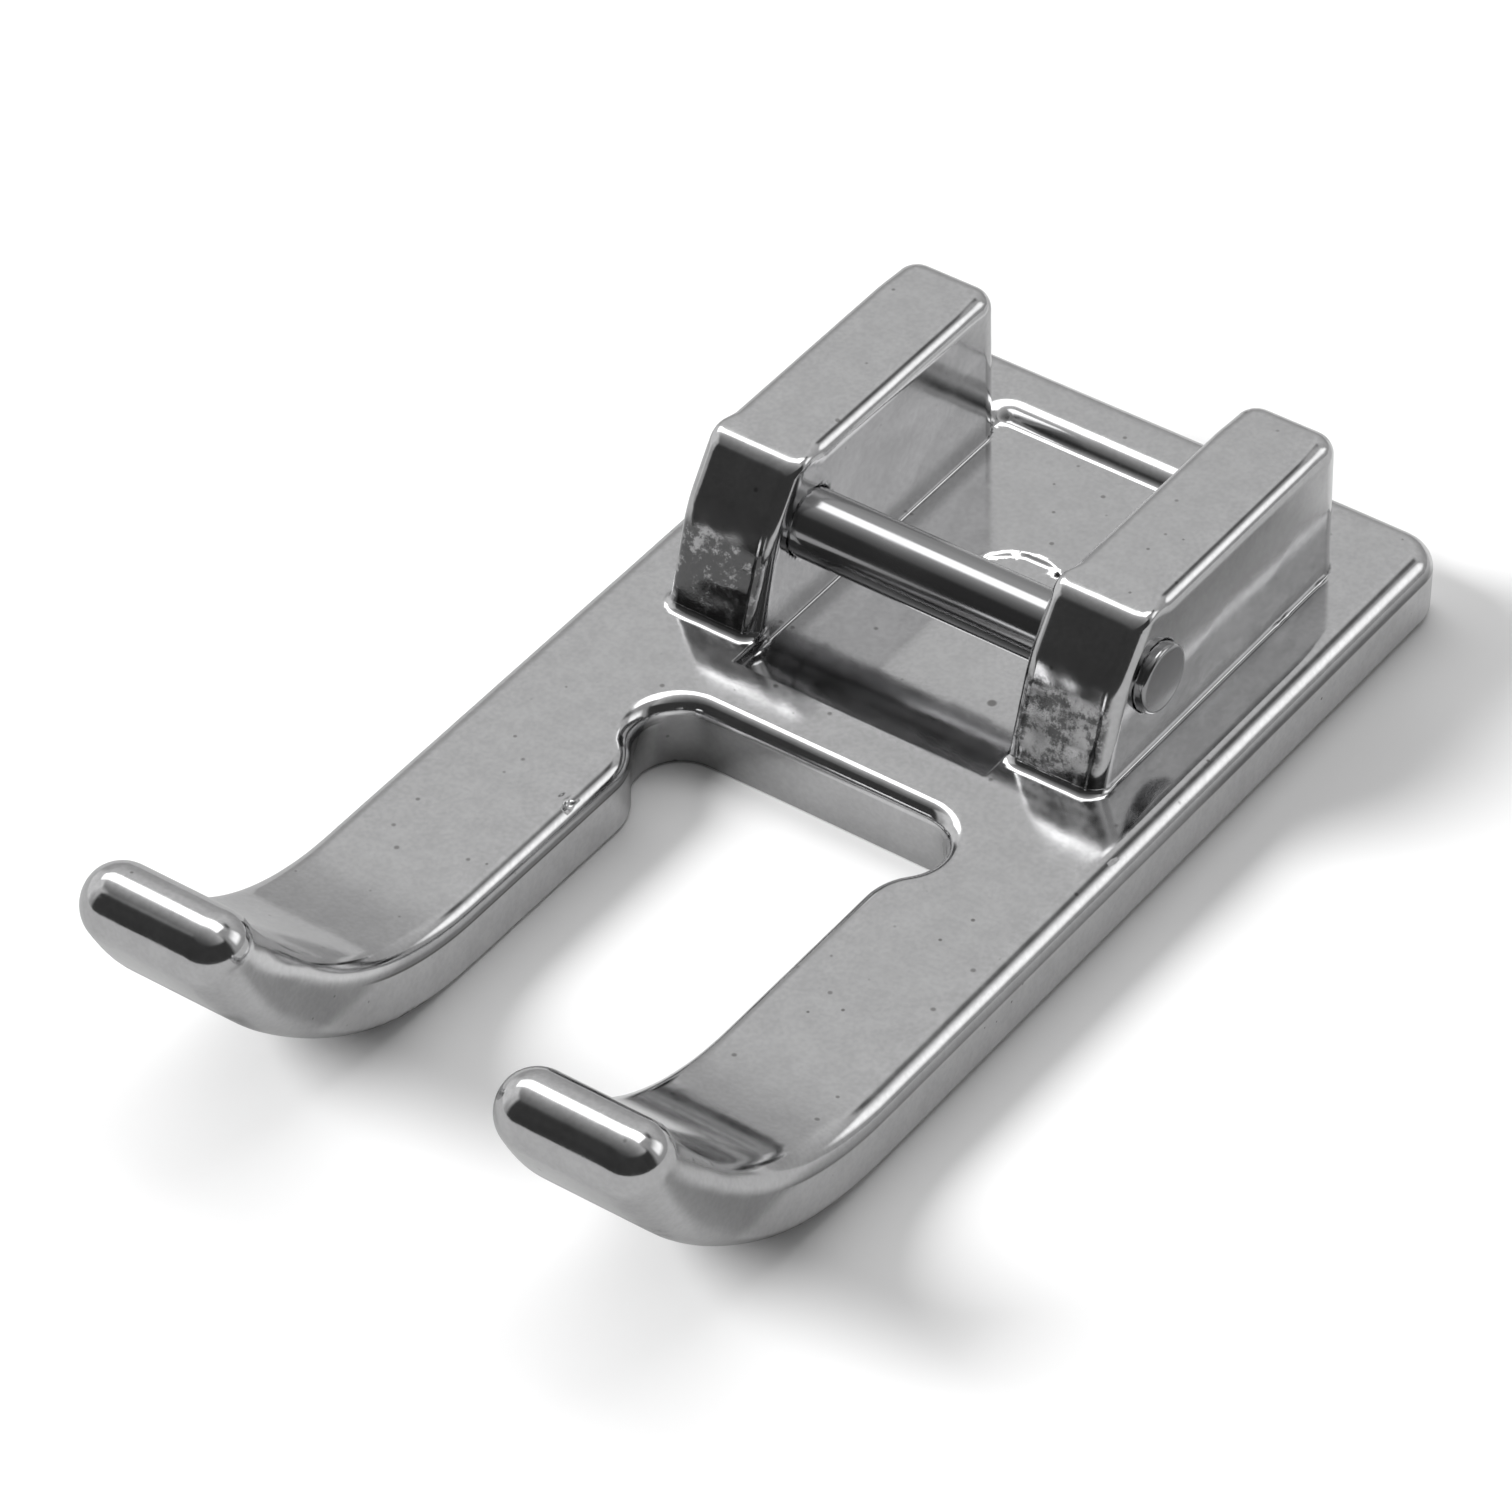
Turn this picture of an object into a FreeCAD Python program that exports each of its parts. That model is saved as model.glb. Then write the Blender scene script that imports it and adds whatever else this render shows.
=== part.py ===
# Clip-on presser foot with two open toes: one plated casting and the cross pin pressed through its ears.
# Millimetres. +X is to the right, -Y is where the toes point, +Z is up, and z = 0 is the flat sole.
# The origin lies under the middle of the whole foot.
import FreeCAD
import Part
import math
import os

from FreeCAD import Vector

# Sole plate
SOLE_WIDTH = 17.0
SOLE_THICKNESS = 2.1
FLAT_LENGTH = 25.1          # from the back edge to where the toes begin to rise
BACK_CORNER = 1.2           # plan radius of the two back corners
EDGE_ROUND = 0.5            # rounding of the sole's upper and lower edges, and of the toes' ends

# Toes
TOE_BEND_RADIUS = 10.3      # underside of the upturned part
TOE_BEND_ANGLE = 65.0       # degrees from level, at the tip
SLOT_WIDTH = 7.5            # gap between the toes
BRIDGE_TO_BACK = 16.1       # from the back edge to the slot's closed end
BAY_WIDTH = 9.1             # the slot's wider closed end
BAY_ROUND = 1.2             # plan radius of the bay's corners
BAY_NECK_ROUND = 1.8        # plan radius where the bay narrows to the slot

# Ears that carry the pin
EAR_GAP = 7.6
EAR_THICKNESS = 2.85
EAR_HEIGHT = 4.3            # above the sole plate
EAR_TOP_LENGTH = 8.95
EAR_TO_BACK = 2.45          # ledge behind the ears
EAR_RAKE = 2.1              # how far the foot of the front face runs out in front of its top
EAR_BACK_CORNER = 0.3       # plan radius of the upright corners at the back
EAR_FRONT_CORNER = 0.45     # radius of the raked corners at the front
EAR_TOP_ROUND = 0.25
EAR_FOOT_ROUND = 0.25       # hollow rounding where an ear meets the sole plate

# Recess in the plate between the ears
RECESS_DEPTH = 0.35
RECESS_BEHIND_EARS = 0.37
RECESS_BEFORE_EARS = 0.74
STEP_ANGLE = 43.0           # degrees from level, of the step at its back
STEP_TOP_ROUND = 0.86
STEP_FOOT_ROUND = 0.4
MARK_DIAMETER = 2.6         # round casting mark in the recess floor
MARK_DEPTH = 0.15
MARK_BEHIND_PIN = 3.4       # from the pin's axis back to the mark's centre

# Cross pin
PIN_DIAMETER = 1.9
PIN_HEIGHT = 4.4            # of its axis above the sole
PIN_BEHIND_EAR_TOP = 0.45   # from the ears' top front edge back to the pin's axis
PIN_STAND_OUT = 0.3         # how far each end stands out of its ear
PIN_END_CHAMFER = 0.15
HOLE_MOUTH_CHAMFER = 0.1

# Worked out from the sizes above
CUT_MARGIN = 1.0
TIP_ROUND = SOLE_THICKNESS / 2
BEND_ANGLE = math.radians(TOE_BEND_ANGLE)
MID_RADIUS = TOE_BEND_RADIUS - SOLE_THICKNESS / 2
OVERALL_LENGTH = FLAT_LENGTH + MID_RADIUS * math.sin(BEND_ANGLE) + TIP_ROUND
BACK_Y = OVERALL_LENGTH / 2
FRONT_Y = -OVERALL_LENGTH / 2
BEND_Y = BACK_Y - FLAT_LENGTH
BRIDGE_Y = BACK_Y - BRIDGE_TO_BACK
EAR_BACK_Y = BACK_Y - EAR_TO_BACK
EAR_FRONT_Y = EAR_BACK_Y - EAR_TOP_LENGTH
EAR_FOOT_Y = EAR_FRONT_Y - EAR_RAKE
EAR_TOP_Z = SOLE_THICKNESS + EAR_HEIGHT
EAR_OUTER_X = EAR_GAP / 2 + EAR_THICKNESS
PIN_Y = EAR_FRONT_Y + PIN_BEHIND_EAR_TOP
PIN_LENGTH = 2 * (EAR_OUTER_X + PIN_STAND_OUT)
RECESS_FLOOR_Z = SOLE_THICKNESS - RECESS_DEPTH
RECESS_BACK_Y = EAR_BACK_Y + RECESS_BEHIND_EARS
RECESS_FRONT_Y = EAR_FOOT_Y - RECESS_BEFORE_EARS


def bend_point(radius, angle):
    """A point of the upturned part, at a radius about the bend's centre and an angle from straight down."""
    y = BEND_Y - radius * math.sin(angle)
    z = TOE_BEND_RADIUS - radius * math.cos(angle)
    return Vector(0, y, z)


def side_profile():
    """The sole's side view: a level bar whose front curls up to a full round tip."""
    upper_radius = TOE_BEND_RADIUS - SOLE_THICKNESS
    along = Vector(0, -math.cos(BEND_ANGLE), math.sin(BEND_ANGLE))
    back_low = Vector(0, BACK_Y, 0)
    back_high = Vector(0, BACK_Y, SOLE_THICKNESS)
    low_start = bend_point(TOE_BEND_RADIUS, 0)
    low_end = bend_point(TOE_BEND_RADIUS, BEND_ANGLE)
    high_start = bend_point(upper_radius, 0)
    high_end = bend_point(upper_radius, BEND_ANGLE)
    tip = bend_point(MID_RADIUS, BEND_ANGLE) + along * TIP_ROUND
    edges = [
        Part.LineSegment(back_low, low_start).toShape(),
        Part.Arc(low_start, bend_point(TOE_BEND_RADIUS, BEND_ANGLE / 2), low_end).toShape(),
        Part.Arc(low_end, tip, high_end).toShape(),
        Part.Arc(high_end, bend_point(upper_radius, BEND_ANGLE / 2), high_start).toShape(),
        Part.LineSegment(high_start, back_high).toShape(),
        Part.LineSegment(back_high, back_low).toShape(),
    ]
    return Part.Face(Part.Wire(edges))


def slot_half_outline():
    """Edges of the right half of the slot's plan, from the front to the middle of its closed end."""
    slot_x = SLOT_WIDTH / 2
    bay_centre = Vector(BAY_WIDTH / 2 - BAY_ROUND, BRIDGE_Y - BAY_ROUND, 0)
    neck_x = slot_x + BAY_NECK_ROUND
    reach = BAY_ROUND + BAY_NECK_ROUND
    drop = math.sqrt(reach ** 2 - (neck_x - bay_centre.x) ** 2)
    neck_centre = Vector(neck_x, bay_centre.y - drop, 0)
    joint = bay_centre + (neck_centre - bay_centre) * (BAY_ROUND / reach)
    joint_angle = math.atan2(joint.y - neck_centre.y, joint.x - neck_centre.x)
    neck_mid = (joint_angle + math.pi) / 2
    neck_middle = neck_centre + Vector(math.cos(neck_mid), math.sin(neck_mid), 0) * BAY_NECK_ROUND
    straight_end = Vector(slot_x, neck_centre.y, 0)
    corner_end = Vector(bay_centre.x, BRIDGE_Y, 0)
    corner_mid = bay_centre + Vector(BAY_ROUND, 0, 0)
    return [
        Part.LineSegment(Vector(slot_x, FRONT_Y - CUT_MARGIN, 0), straight_end).toShape(),
        Part.Arc(straight_end, neck_middle, joint).toShape(),
        Part.Arc(joint, corner_mid, corner_end).toShape(),
        Part.LineSegment(corner_end, Vector(0, BRIDGE_Y, 0)).toShape(),
    ]


def slot_cutter():
    """The needle slot: open at the front, with a wider rounded bay at its closed end."""
    right = slot_half_outline()
    left = [edge.mirror(Vector(0, 0, 0), Vector(1, 0, 0)) for edge in right]
    slot_x = SLOT_WIDTH / 2
    front_y = FRONT_Y - CUT_MARGIN
    front = Part.LineSegment(Vector(-slot_x, front_y, 0), Vector(slot_x, front_y, 0)).toShape()
    wire = Part.Wire(Part.__sortEdges__(right + left + [front]))
    height = TOE_BEND_RADIUS + 2 * CUT_MARGIN
    return Part.Face(wire).extrude(Vector(0, 0, height)).translated(Vector(0, 0, -CUT_MARGIN))


def upright_edges(solid):
    """Straight edges of a solid that stand parallel to Z."""
    found = []
    for edge in solid.Edges:
        if edge.Curve.TypeId == "Part::GeomLine" and abs(edge.Curve.Direction.z) > 0.999:
            found.append(edge)
    return found


def raked_edges(solid):
    """Straight edges of a solid that climb from front to back without leaning to a side."""
    found = []
    for edge in solid.Edges:
        box = edge.BoundBox
        climbs = box.ZLength > EAR_HEIGHT / 2 and box.YLength > EAR_RAKE / 2
        if climbs and box.XLength < CUT_MARGIN / 100:
            found.append(edge)
    return found


def is_sole_edge(edge):
    """True for an edge of the blade's outline: not an upright one, nor a seam across a toe."""
    box = edge.BoundBox
    upright = box.ZLength > CUT_MARGIN / 10 and box.XLength + box.YLength < CUT_MARGIN / 10
    faces_x = box.XLength < CUT_MARGIN / 100
    level = box.ZLength < CUT_MARGIN / 100
    across = level and box.YLength < CUT_MARGIN / 100 and box.YMax < BRIDGE_Y - CUT_MARGIN / 10
    return not upright and not across and (faces_x or level)


def sole():
    """The sole plate with its two toes, before the ears go on."""
    blade = side_profile().extrude(Vector(SOLE_WIDTH, 0, 0)).translated(Vector(-SOLE_WIDTH / 2, 0, 0))
    blade = blade.makeFillet(BACK_CORNER, upright_edges(blade))
    blade = blade.cut(slot_cutter())
    return blade.makeFillet(EDGE_ROUND, [edge for edge in blade.Edges if is_sole_edge(edge)])


def ear():
    """The right ear: a block with a raked front, let into the sole plate down to the recess floor."""
    rake_to_floor = EAR_RAKE * (EAR_TOP_Z - RECESS_FLOOR_Z) / EAR_HEIGHT
    corners = [
        Vector(EAR_GAP / 2, EAR_FRONT_Y - rake_to_floor, RECESS_FLOOR_Z),
        Vector(EAR_GAP / 2, EAR_BACK_Y, RECESS_FLOOR_Z),
        Vector(EAR_GAP / 2, EAR_BACK_Y, EAR_TOP_Z),
        Vector(EAR_GAP / 2, EAR_FRONT_Y, EAR_TOP_Z),
    ]
    side = Part.Face(Part.makePolygon(corners + corners[:1]))
    block = side.extrude(Vector(EAR_THICKNESS, 0, 0))
    block = block.makeFillet(EAR_BACK_CORNER, upright_edges(block))
    block = block.makeFillet(EAR_FRONT_CORNER, raked_edges(block))
    top = [edge for edge in block.Edges if edge.BoundBox.ZMin > EAR_TOP_Z - CUT_MARGIN / 100]
    return block.makeFillet(EAR_TOP_ROUND, top)


def back_step():
    """Side view of the recess's rounded back step, as edges with the floor's end and a point above."""
    angle = math.radians(STEP_ANGLE)
    half_run = RECESS_DEPTH / math.tan(angle) / 2

    def rounding(centre_y, centre_z, radius, turns):
        return [Vector(0, centre_y + radius * math.sin(turn), centre_z + radius * math.cos(turn)) for turn in turns]

    foot_y = RECESS_BACK_Y - half_run - STEP_FOOT_ROUND * math.tan(angle / 2)
    top_y = RECESS_BACK_Y + half_run + STEP_TOP_ROUND * math.tan(angle / 2)
    foot_turns = [math.pi, math.pi - angle / 2, math.pi - angle]
    foot = rounding(foot_y, RECESS_FLOOR_Z + STEP_FOOT_ROUND, STEP_FOOT_ROUND, foot_turns)
    top = rounding(top_y, SOLE_THICKNESS - STEP_TOP_ROUND, STEP_TOP_ROUND, [-angle, -angle / 2, 0])
    above = Vector(0, top_y, SOLE_THICKNESS + CUT_MARGIN)
    edges = [
        Part.Arc(*foot).toShape(),
        Part.LineSegment(foot[2], top[0]).toShape(),
        Part.Arc(*top).toShape(),
        Part.LineSegment(top[2], above).toShape(),
    ]
    return edges, foot[0], above


def recess_cutter():
    """The shallow recess between the ears, with an upright front wall and a rounded step at its back."""
    step, foot, above = back_step()
    front_foot = Vector(0, RECESS_FRONT_Y, RECESS_FLOOR_Z)
    front_above = Vector(0, RECESS_FRONT_Y, above.z)
    front = Part.makePolygon([foot, front_foot, front_above, above])
    wire = Part.Wire(Part.__sortEdges__(step + front.Edges))
    return Part.Face(wire).extrude(Vector(EAR_GAP, 0, 0)).translated(Vector(-EAR_GAP / 2, 0, 0))


def mark_cutter():
    """The round mark that the casting has in its recess floor."""
    centre = Vector(0, PIN_Y + MARK_BEHIND_PIN, RECESS_FLOOR_Z - MARK_DEPTH)
    return Part.makeCylinder(MARK_DIAMETER / 2, MARK_DEPTH + CUT_MARGIN, centre)


def pin_hole_cutter():
    """The pin's holes through both ears, with a small chamfer at each outer mouth."""
    radius = PIN_DIAMETER / 2
    along = Vector(1, 0, 0)
    start = Vector(-EAR_OUTER_X - CUT_MARGIN, PIN_Y, PIN_HEIGHT)
    bore = Part.makeCylinder(radius, 2 * (EAR_OUTER_X + CUT_MARGIN), start, along)
    deep = HOLE_MOUTH_CHAMFER
    mouth_start = Vector(EAR_OUTER_X - deep, PIN_Y, PIN_HEIGHT)
    mouth = Part.makeCone(radius, radius + 2 * deep, 2 * deep, mouth_start, along)
    return bore.fuse([mouth, mirrored(mouth)])


def mirrored(solid):
    """The same solid on the foot's other side."""
    return solid.mirror(Vector(0, 0, 0), Vector(1, 0, 0))


def foot_edges(solid):
    """The lines where the ears stand on the sole plate."""
    found = []
    for edge in solid.Edges:
        box = edge.BoundBox
        middle = edge.valueAt((edge.FirstParameter + edge.LastParameter) / 2)
        level = abs(middle.z - SOLE_THICKNESS) < CUT_MARGIN / 100 and box.ZLength < CUT_MARGIN / 100
        in_length = EAR_FOOT_Y - CUT_MARGIN / 20 < middle.y < EAR_BACK_Y + CUT_MARGIN / 20
        if level and in_length and abs(middle.x) < EAR_OUTER_X + CUT_MARGIN / 20:
            found.append(edge)
    return found


def foot_body():
    """The casting: sole plate, toes and ears in one piece, with its recess and pin holes."""
    right_ear = ear()
    casting = sole().fuse([right_ear, mirrored(right_ear)]).removeSplitter()
    casting = casting.makeFillet(EAR_FOOT_ROUND, foot_edges(casting))
    for cutter in (recess_cutter(), mark_cutter(), pin_hole_cutter()):
        casting = casting.cut(cutter)
    return casting


def cross_pin():
    """The round pin that the presser bar's ankle clips onto, with chamfered ends that stand out."""
    start = Vector(-PIN_LENGTH / 2, PIN_Y, PIN_HEIGHT)
    pin = Part.makeCylinder(PIN_DIAMETER / 2, PIN_LENGTH, start, Vector(1, 0, 0))
    ends = [edge for edge in pin.Edges if edge.BoundBox.XLength < CUT_MARGIN / 100]
    return pin.makeChamfer(PIN_END_CHAMFER, ends)


def export(name, shape):
    """Write one piece to its own file and say what it is."""
    shape.exportStep("parts/" + name + ".step")
    box = shape.BoundBox
    print(name, "valid", shape.isValid(), "solids", len(shape.Solids), "volume", round(shape.Volume, 2),
          "size", round(box.XLength, 2), round(box.YLength, 2), round(box.ZLength, 2))


os.makedirs("parts", exist_ok=True)
export("foot_body", foot_body())
export("cross_pin", cross_pin())
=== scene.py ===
"""The looks of a clip-on presser foot with open toes: a plated casting and its cross pin.

The casting is worked out as a distance field: plate, toes and ears as plain forms whose meeting edges are
rounded. A mesh is then wrapped round that field. Lengths are in metres.
"""

import math
from functools import partial
from types import SimpleNamespace

import bpy
import numpy as np
from mathutils import Matrix, Vector


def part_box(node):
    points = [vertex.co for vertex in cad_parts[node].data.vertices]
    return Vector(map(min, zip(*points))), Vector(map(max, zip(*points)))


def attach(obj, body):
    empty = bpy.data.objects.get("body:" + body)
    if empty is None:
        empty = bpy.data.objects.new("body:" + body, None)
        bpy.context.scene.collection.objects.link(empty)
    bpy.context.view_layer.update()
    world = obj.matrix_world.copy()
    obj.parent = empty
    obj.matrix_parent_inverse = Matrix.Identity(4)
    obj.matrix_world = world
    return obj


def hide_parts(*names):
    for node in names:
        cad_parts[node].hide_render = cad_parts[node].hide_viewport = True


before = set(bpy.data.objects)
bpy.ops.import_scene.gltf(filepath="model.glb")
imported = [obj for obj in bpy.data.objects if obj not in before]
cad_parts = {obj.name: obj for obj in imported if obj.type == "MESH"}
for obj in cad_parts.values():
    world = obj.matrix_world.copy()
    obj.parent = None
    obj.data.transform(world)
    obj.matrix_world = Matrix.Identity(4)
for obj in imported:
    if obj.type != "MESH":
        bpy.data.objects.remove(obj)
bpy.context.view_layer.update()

bl_info = {
    "name": "Open-toe presser foot",
    "version": (1, 0, 0),
    "blender": (4, 5, 0),
    "location": "3D View > Sidebar > Presser foot",
    "description": "Builds a plated presser foot, its cross pin and a plain studio",
    "category": "Add Mesh",
}

MM = 0.001
FOOT_LOW, FOOT_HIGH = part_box("foot_body")
PIN_LOW, PIN_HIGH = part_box("cross_pin")

# Places of the knocks in the edges and of the larger pits, and how far each reaches, in millimetres.
KNOCKS = ((-3.95, -3.66, 2.15), 0.2), ((-4.25, -3.5, 2.22), 0.16), ((8.25, 2.34, 2.2), 0.22)
PITS = (
    ((8.5, -2.10, 1.48), 0.045), ((8.5, -2.57, 1.25), 0.05), ((8.5, -3.20, 1.08), 0.04),
    ((8.5, -3.71, 1.28), 0.035), ((8.5, 11.20, 1.06), 0.06), ((6.6, -1.47, 2.1), 0.07),
    ((6.35, -2.50, 2.1), 0.06), ((5.85, -5.84, 2.1), 0.06), ((5.2, -6.37, 2.1), 0.05),
    ((-4.8, -9.41, 2.3), 0.07), ((2.21, 5.69, 1.75), 0.16),
)


def number(name, value, description, **limits):
    """A number that a user may set."""
    return bpy.props.FloatProperty(name=name, description=description, default=value, **limits)


def length(name, millimetres, description):
    """A size, written in millimetres and kept in metres."""
    return number(name, millimetres * MM, description, min=0.0, unit="LENGTH", precision=5)


def share(name, value, description):
    """A number from nothing to one."""
    return number(name, value, description, min=0.0, max=1.0)


def strength(name, value, description):
    """How bright something is."""
    return number(name, value, description, min=0.0)


def angle(name, degrees, description):
    """An angle, written in degrees."""
    return number(name, math.radians(degrees), description, subtype="ANGLE")


def colour(name, value, description):
    """A colour that a user may set."""
    return bpy.props.FloatVectorProperty(
        name=name, description=description, default=value, size=3, subtype="COLOR", min=0.0, max=1.0)


class CastingSizes(bpy.types.PropertyGroup):
    """Sizes of the plated casting."""

    thickness: length("Plate thickness", 2.1, "Thickness of plate and toes")
    flat_length: length("Flat length", 25.1, "From the back edge to where the toes rise")
    back_corner: length("Back corners", 1.2, "Plan radius of the back corners")
    top_round: length("Top edges", 0.62, "Rounding of the outer upper edges")
    slot_top_round: length("Slot's top edges", 0.46, "Rounding of the slot's upper edges")
    top_roll: length("Polished roll", 0.008, "How far the top is rolled down at its edges")
    top_roll_reach: length("Roll's reach", 1.0, "How far in from an edge the roll begins")
    bottom_round: length("Bottom edges", 0.3, "Rounding of the outer lower edges")
    slot_bottom_round: length("Slot's bottom edges", 0.14, "Rounding of the slot's lower edges")
    bend_radius: length("Toe bend", 10.3, "Underside's radius where the toes curl up")
    bend_angle: angle("Toe angle", 65.0, "How far the toes' ends lean up from level")
    tip_round: length("Toe ends", 1.0, "Rounding of the toes' ends at their sides")
    toe_under_round: length("Toe undersides", 0.75, "Rounding of the risen toes' lower edges")
    slot_width: length("Slot", 7.5, "Gap between the toes")
    bridge_to_back: length("Bridge", 16.1, "From the back edge to the slot's closed end")
    bay_width: length("Bay", 9.1, "Width of the slot's closed end")
    bay_round: length("Bay corners", 1.2, "Plan radius of the bay's corners")
    neck_round: length("Bay neck", 1.8, "Plan radius where the bay narrows")
    draft: share("Draft", 0.03, "Slope of the side walls from the parting line")
    parting_height: length("Parting line", 0.45, "Parting line's height above mid-plate")
    ear_gap: length("Ear gap", 7.6, "Gap between the two ears")
    ear_thickness: length("Ear thickness", 2.85, "Thickness of each ear")
    ear_height: length("Ear height", 4.3, "Height of the ears above the plate")
    ear_top_length: length("Ear top", 8.95, "Length of each ear's flat top")
    ear_to_back: length("Ledge", 2.45, "From the back edge to the ears")
    ear_rake: length("Ear rake", 2.1, "How far an ear's foot runs out in front")
    ear_knee: length("Ear knee", 2.7, "Height where the fronts lean back more")
    ear_knee_ease: length("Knee's easing", 0.22, "How far the knee is eased")
    ear_foot_lean: angle("Foot's lean", 18.5, "How far the fronts lean back below the knee")
    ear_wear: length("Worn top", 0.27, "How far back the worn slope begins")
    ear_wear_angle: angle("Worn slope", 13.0, "Slope of the worn top front edges")
    ear_wear_ease: length("Worn slope's easing", 0.06, "How far the slope's back edge is eased")
    ear_ripple: length("Cast ripple", 0.0042, "Height of the ripples on the ears' fronts")
    ear_back_corner: length("Ear back corners", 0.65, "Plan radius of the ears' back corners")
    ear_corner_top: length("Ear front corners, top", 0.42, "Radius of the front corners at the top")
    ear_corner_foot: length("Ear front corners, foot", 0.5, "Radius of the front corners at the foot")
    ear_top_round: length("Ear top edges", 0.45, "Rounding of the ears' top edges")
    ear_top_back_round: length("Ear top back edges", 0.55, "Rounding of the top edges at the back")
    ear_top_front_round: length("Ear top front edges", 0.22, "Rounding of the top edges at the front")
    ear_foot_round: length("Ear foot", 0.05, "Hollow rounding round an ear's foot")
    ear_front_foot_round: length("Ear front foot", 0.2, "Hollow rounding before an ear's front")
    recess_depth: length("Recess depth", 0.35, "Depth of the recess")
    recess_behind: length("Recess behind ears", 0.37, "From the ears' backs to the back step")
    recess_corner: length("Recess corners", 0.4, "Plan radius of its back corners")
    recess_before: length("Recess before ears", 0.74, "From the ears' feet to the front wall")
    recess_past_ears: length("Recess past ears", 0.28, "How far the recess spreads behind the ears")
    step_top_round: length("Step top", 0.86, "Rounding at the top of the back step")
    step_foot_round: length("Step foot", 0.4, "Hollow rounding at the back step's foot")
    lip_round: length("Front lip", 0.08, "Rounding of its front and side edges")
    mark_diameter: length("Casting mark", 2.6, "Diameter of the round mark")
    mark_depth: length("Mark depth", 0.085, "Depth of the round mark")
    mark_round: length("Mark edge", 0.22, "Rounding of the mark's edge, top and foot")
    mark_behind_pin: length("Mark place", 3.4, "From the pin back to the mark's centre")
    bore_clearance: length("Bore clearance", 0.01, "Gap round the pin in its bore")
    bore_mouth: length("Bore mouth", 0.04, "Rounding of the bore's mouths")
    wave_height: length("Waviness", 0.0008, "Height of the polish's slight waves")
    polished_off: length("Polished off", 0.0005, "How much polishing has taken off all round")


class PinSizes(bpy.types.PropertyGroup):
    """Sizes of the cross pin."""

    end_round: length("End rounding", 0.12, "Rounding of the pin's two ends")
    left_short: length("Left end", 0.33, "How far short of the CAD pin the left end stops")
    sides: bpy.props.IntProperty(name="Sides", description="Faces round the pin", default=96, min=12)


class FinishColours(bpy.types.PropertyGroup):
    """Colours and gloss of the plating, and the painted reflection on its side walls."""

    plating: colour("Plating", (0.66, 0.66, 0.665), "Colour that the plating reflects")
    smut: colour("Smut", (0.16, 0.155, 0.15), "Colour of the dirt")
    gloss: share("Roughness", 0.12, "Roughness of the plating")
    relief: share("Relief", 0.16, "Strength of the fine relief")
    # Painted reflection: the plate's side walls are painted darker above the parting line and brighter
    # below it, standing in for how they mirror the floor.
    painted_reflection_above: strength("Sides above", 0.6, "Side walls' brightness above the parting line")
    painted_reflection_below: strength("Sides below", 1.48, "Side walls' brightness below the parting line")
    pin_plating: colour("Pin", (0.42, 0.42, 0.425), "Colour that the pin reflects")
    pin_gloss: share("Pin roughness", 0.16, "Roughness of the pin")
    pin_relief: share("Pin relief", 0.05, "Strength of the pin's turning marks")


class StageSettings(bpy.types.PropertyGroup):
    """The floor and the light."""

    floor_shade: share("Floor", 0.9, "How pale the studio floor is")
    floor_size: length("Floor size", 2000.0, "Side of the square floor")
    mirrored_floor: share("Mirrored floor", 0.5, "How bright the plating sees the floor")
    # Painted pool of light: how bright the plating sees the floor beside the foot.
    mirrored_painted_pool: share("Mirrored floor, near", 0.68, "How bright the side walls see the floor")
    back_wall: strength("Back wall", 0.56, "Brightness of the wall behind")
    side_wall: strength("Side wall", 0.37, "Brightness of the wall on the right")
    left_wall: strength("Left wall", 0.75, "Brightness of the screen on the left")
    dark_wall: strength("Dark wall", 0.045, "Brightness of the dark side behind the camera")
    dark_bearing: angle("Dark side's bearing", -64.0, "Bearing of the dark side's middle from +X")
    glow: strength("Ceiling's glow", 0.55, "Brightness of the ceiling beside the softbox")
    overhead: strength("Overhead", 2.6, "Brightness of the overhead softbox")
    window: strength("Window", 1.45, "Brightness of the window, behind on the right")
    dark_card: strength("Dark card", 0.09, "Brightness of the dark patch above the window")
    sun: strength("Shadow light", 3.5, "Strength of the lamp that only the floor shows")
    sun_width: angle("Shadow width", 23.0, "How wide the shadow light is")
    sun_bearing: angle("Shadow bearing", -144.0, "Bearing of that light from +X")
    sun_height: angle("Shadow height", 36.0, "Height of that light above the horizon")


# Distances. Each is negative inside the metal, nought on its surface and positive outside.

# Where a form begins to change and where the change is whole.
TIP_CHANGE = np.array((3.0, 0.0)) * MM  # before a toe's end, in the rounding of its sides
UNDERSIDE_CHANGE = np.array((8.0, 3.0)) * MM  # before a toe's end, in the rounding of its underside
STEP_CHANGE = np.array((0.5, 0.05)) * MM  # before the ears' backs, in the recess's width
WIDER_CHANGE = np.array((0.6, 1.1)) * MM  # behind the ears' feet, in the recess's width
FRONT_EDGE_CHANGE = np.array((1.2, 0.5)) * MM  # behind an ear's top front edge, in its rounding
BACK_EDGE_CHANGE = np.array((1.7, 0.6)) * MM  # before an ear's back, in its top's rounding
FOOT_CHANGE = np.array((0.9, 0.2)) * MM  # behind an ear's front foot, in its hollow rounding
CAST_CHANGE = 0.85, 0.6  # shares of an ear's height, from polished to cast

# Each pattern of waves: how many cross, their pitches in millimetres and the seed of its draws.
RIPPLES, RIPPLE_PITCHES, RIPPLE_SEED = 6, (0.63, 1.44), 3
WAVES, WAVE_PITCHES, WAVE_SEED = 9, (1.6, 4.5), 7
FULL_TURN = 2 * math.pi
ANY_PHASE = 0, 7


def rounded_meet(first, second, radius):
    """What two forms share, with the outer corner between them rounded."""
    corner = np.hypot(np.maximum(radius + first, 0), np.maximum(radius + second, 0))
    return np.minimum(-radius, np.maximum(first, second)) + corner


def rounded_join(first, second, radius):
    """Two forms together, with a hollow rounding in the inner corner between them."""
    return -rounded_meet(-first, -second, radius)


def soft_meet(first, second, reach):
    """What two forms share, with the blunt corner between them eased."""
    part = np.maximum(reach - np.abs(first - second), 0) / reach
    return np.maximum(first, second) + part ** 2 * reach / 4


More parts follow.
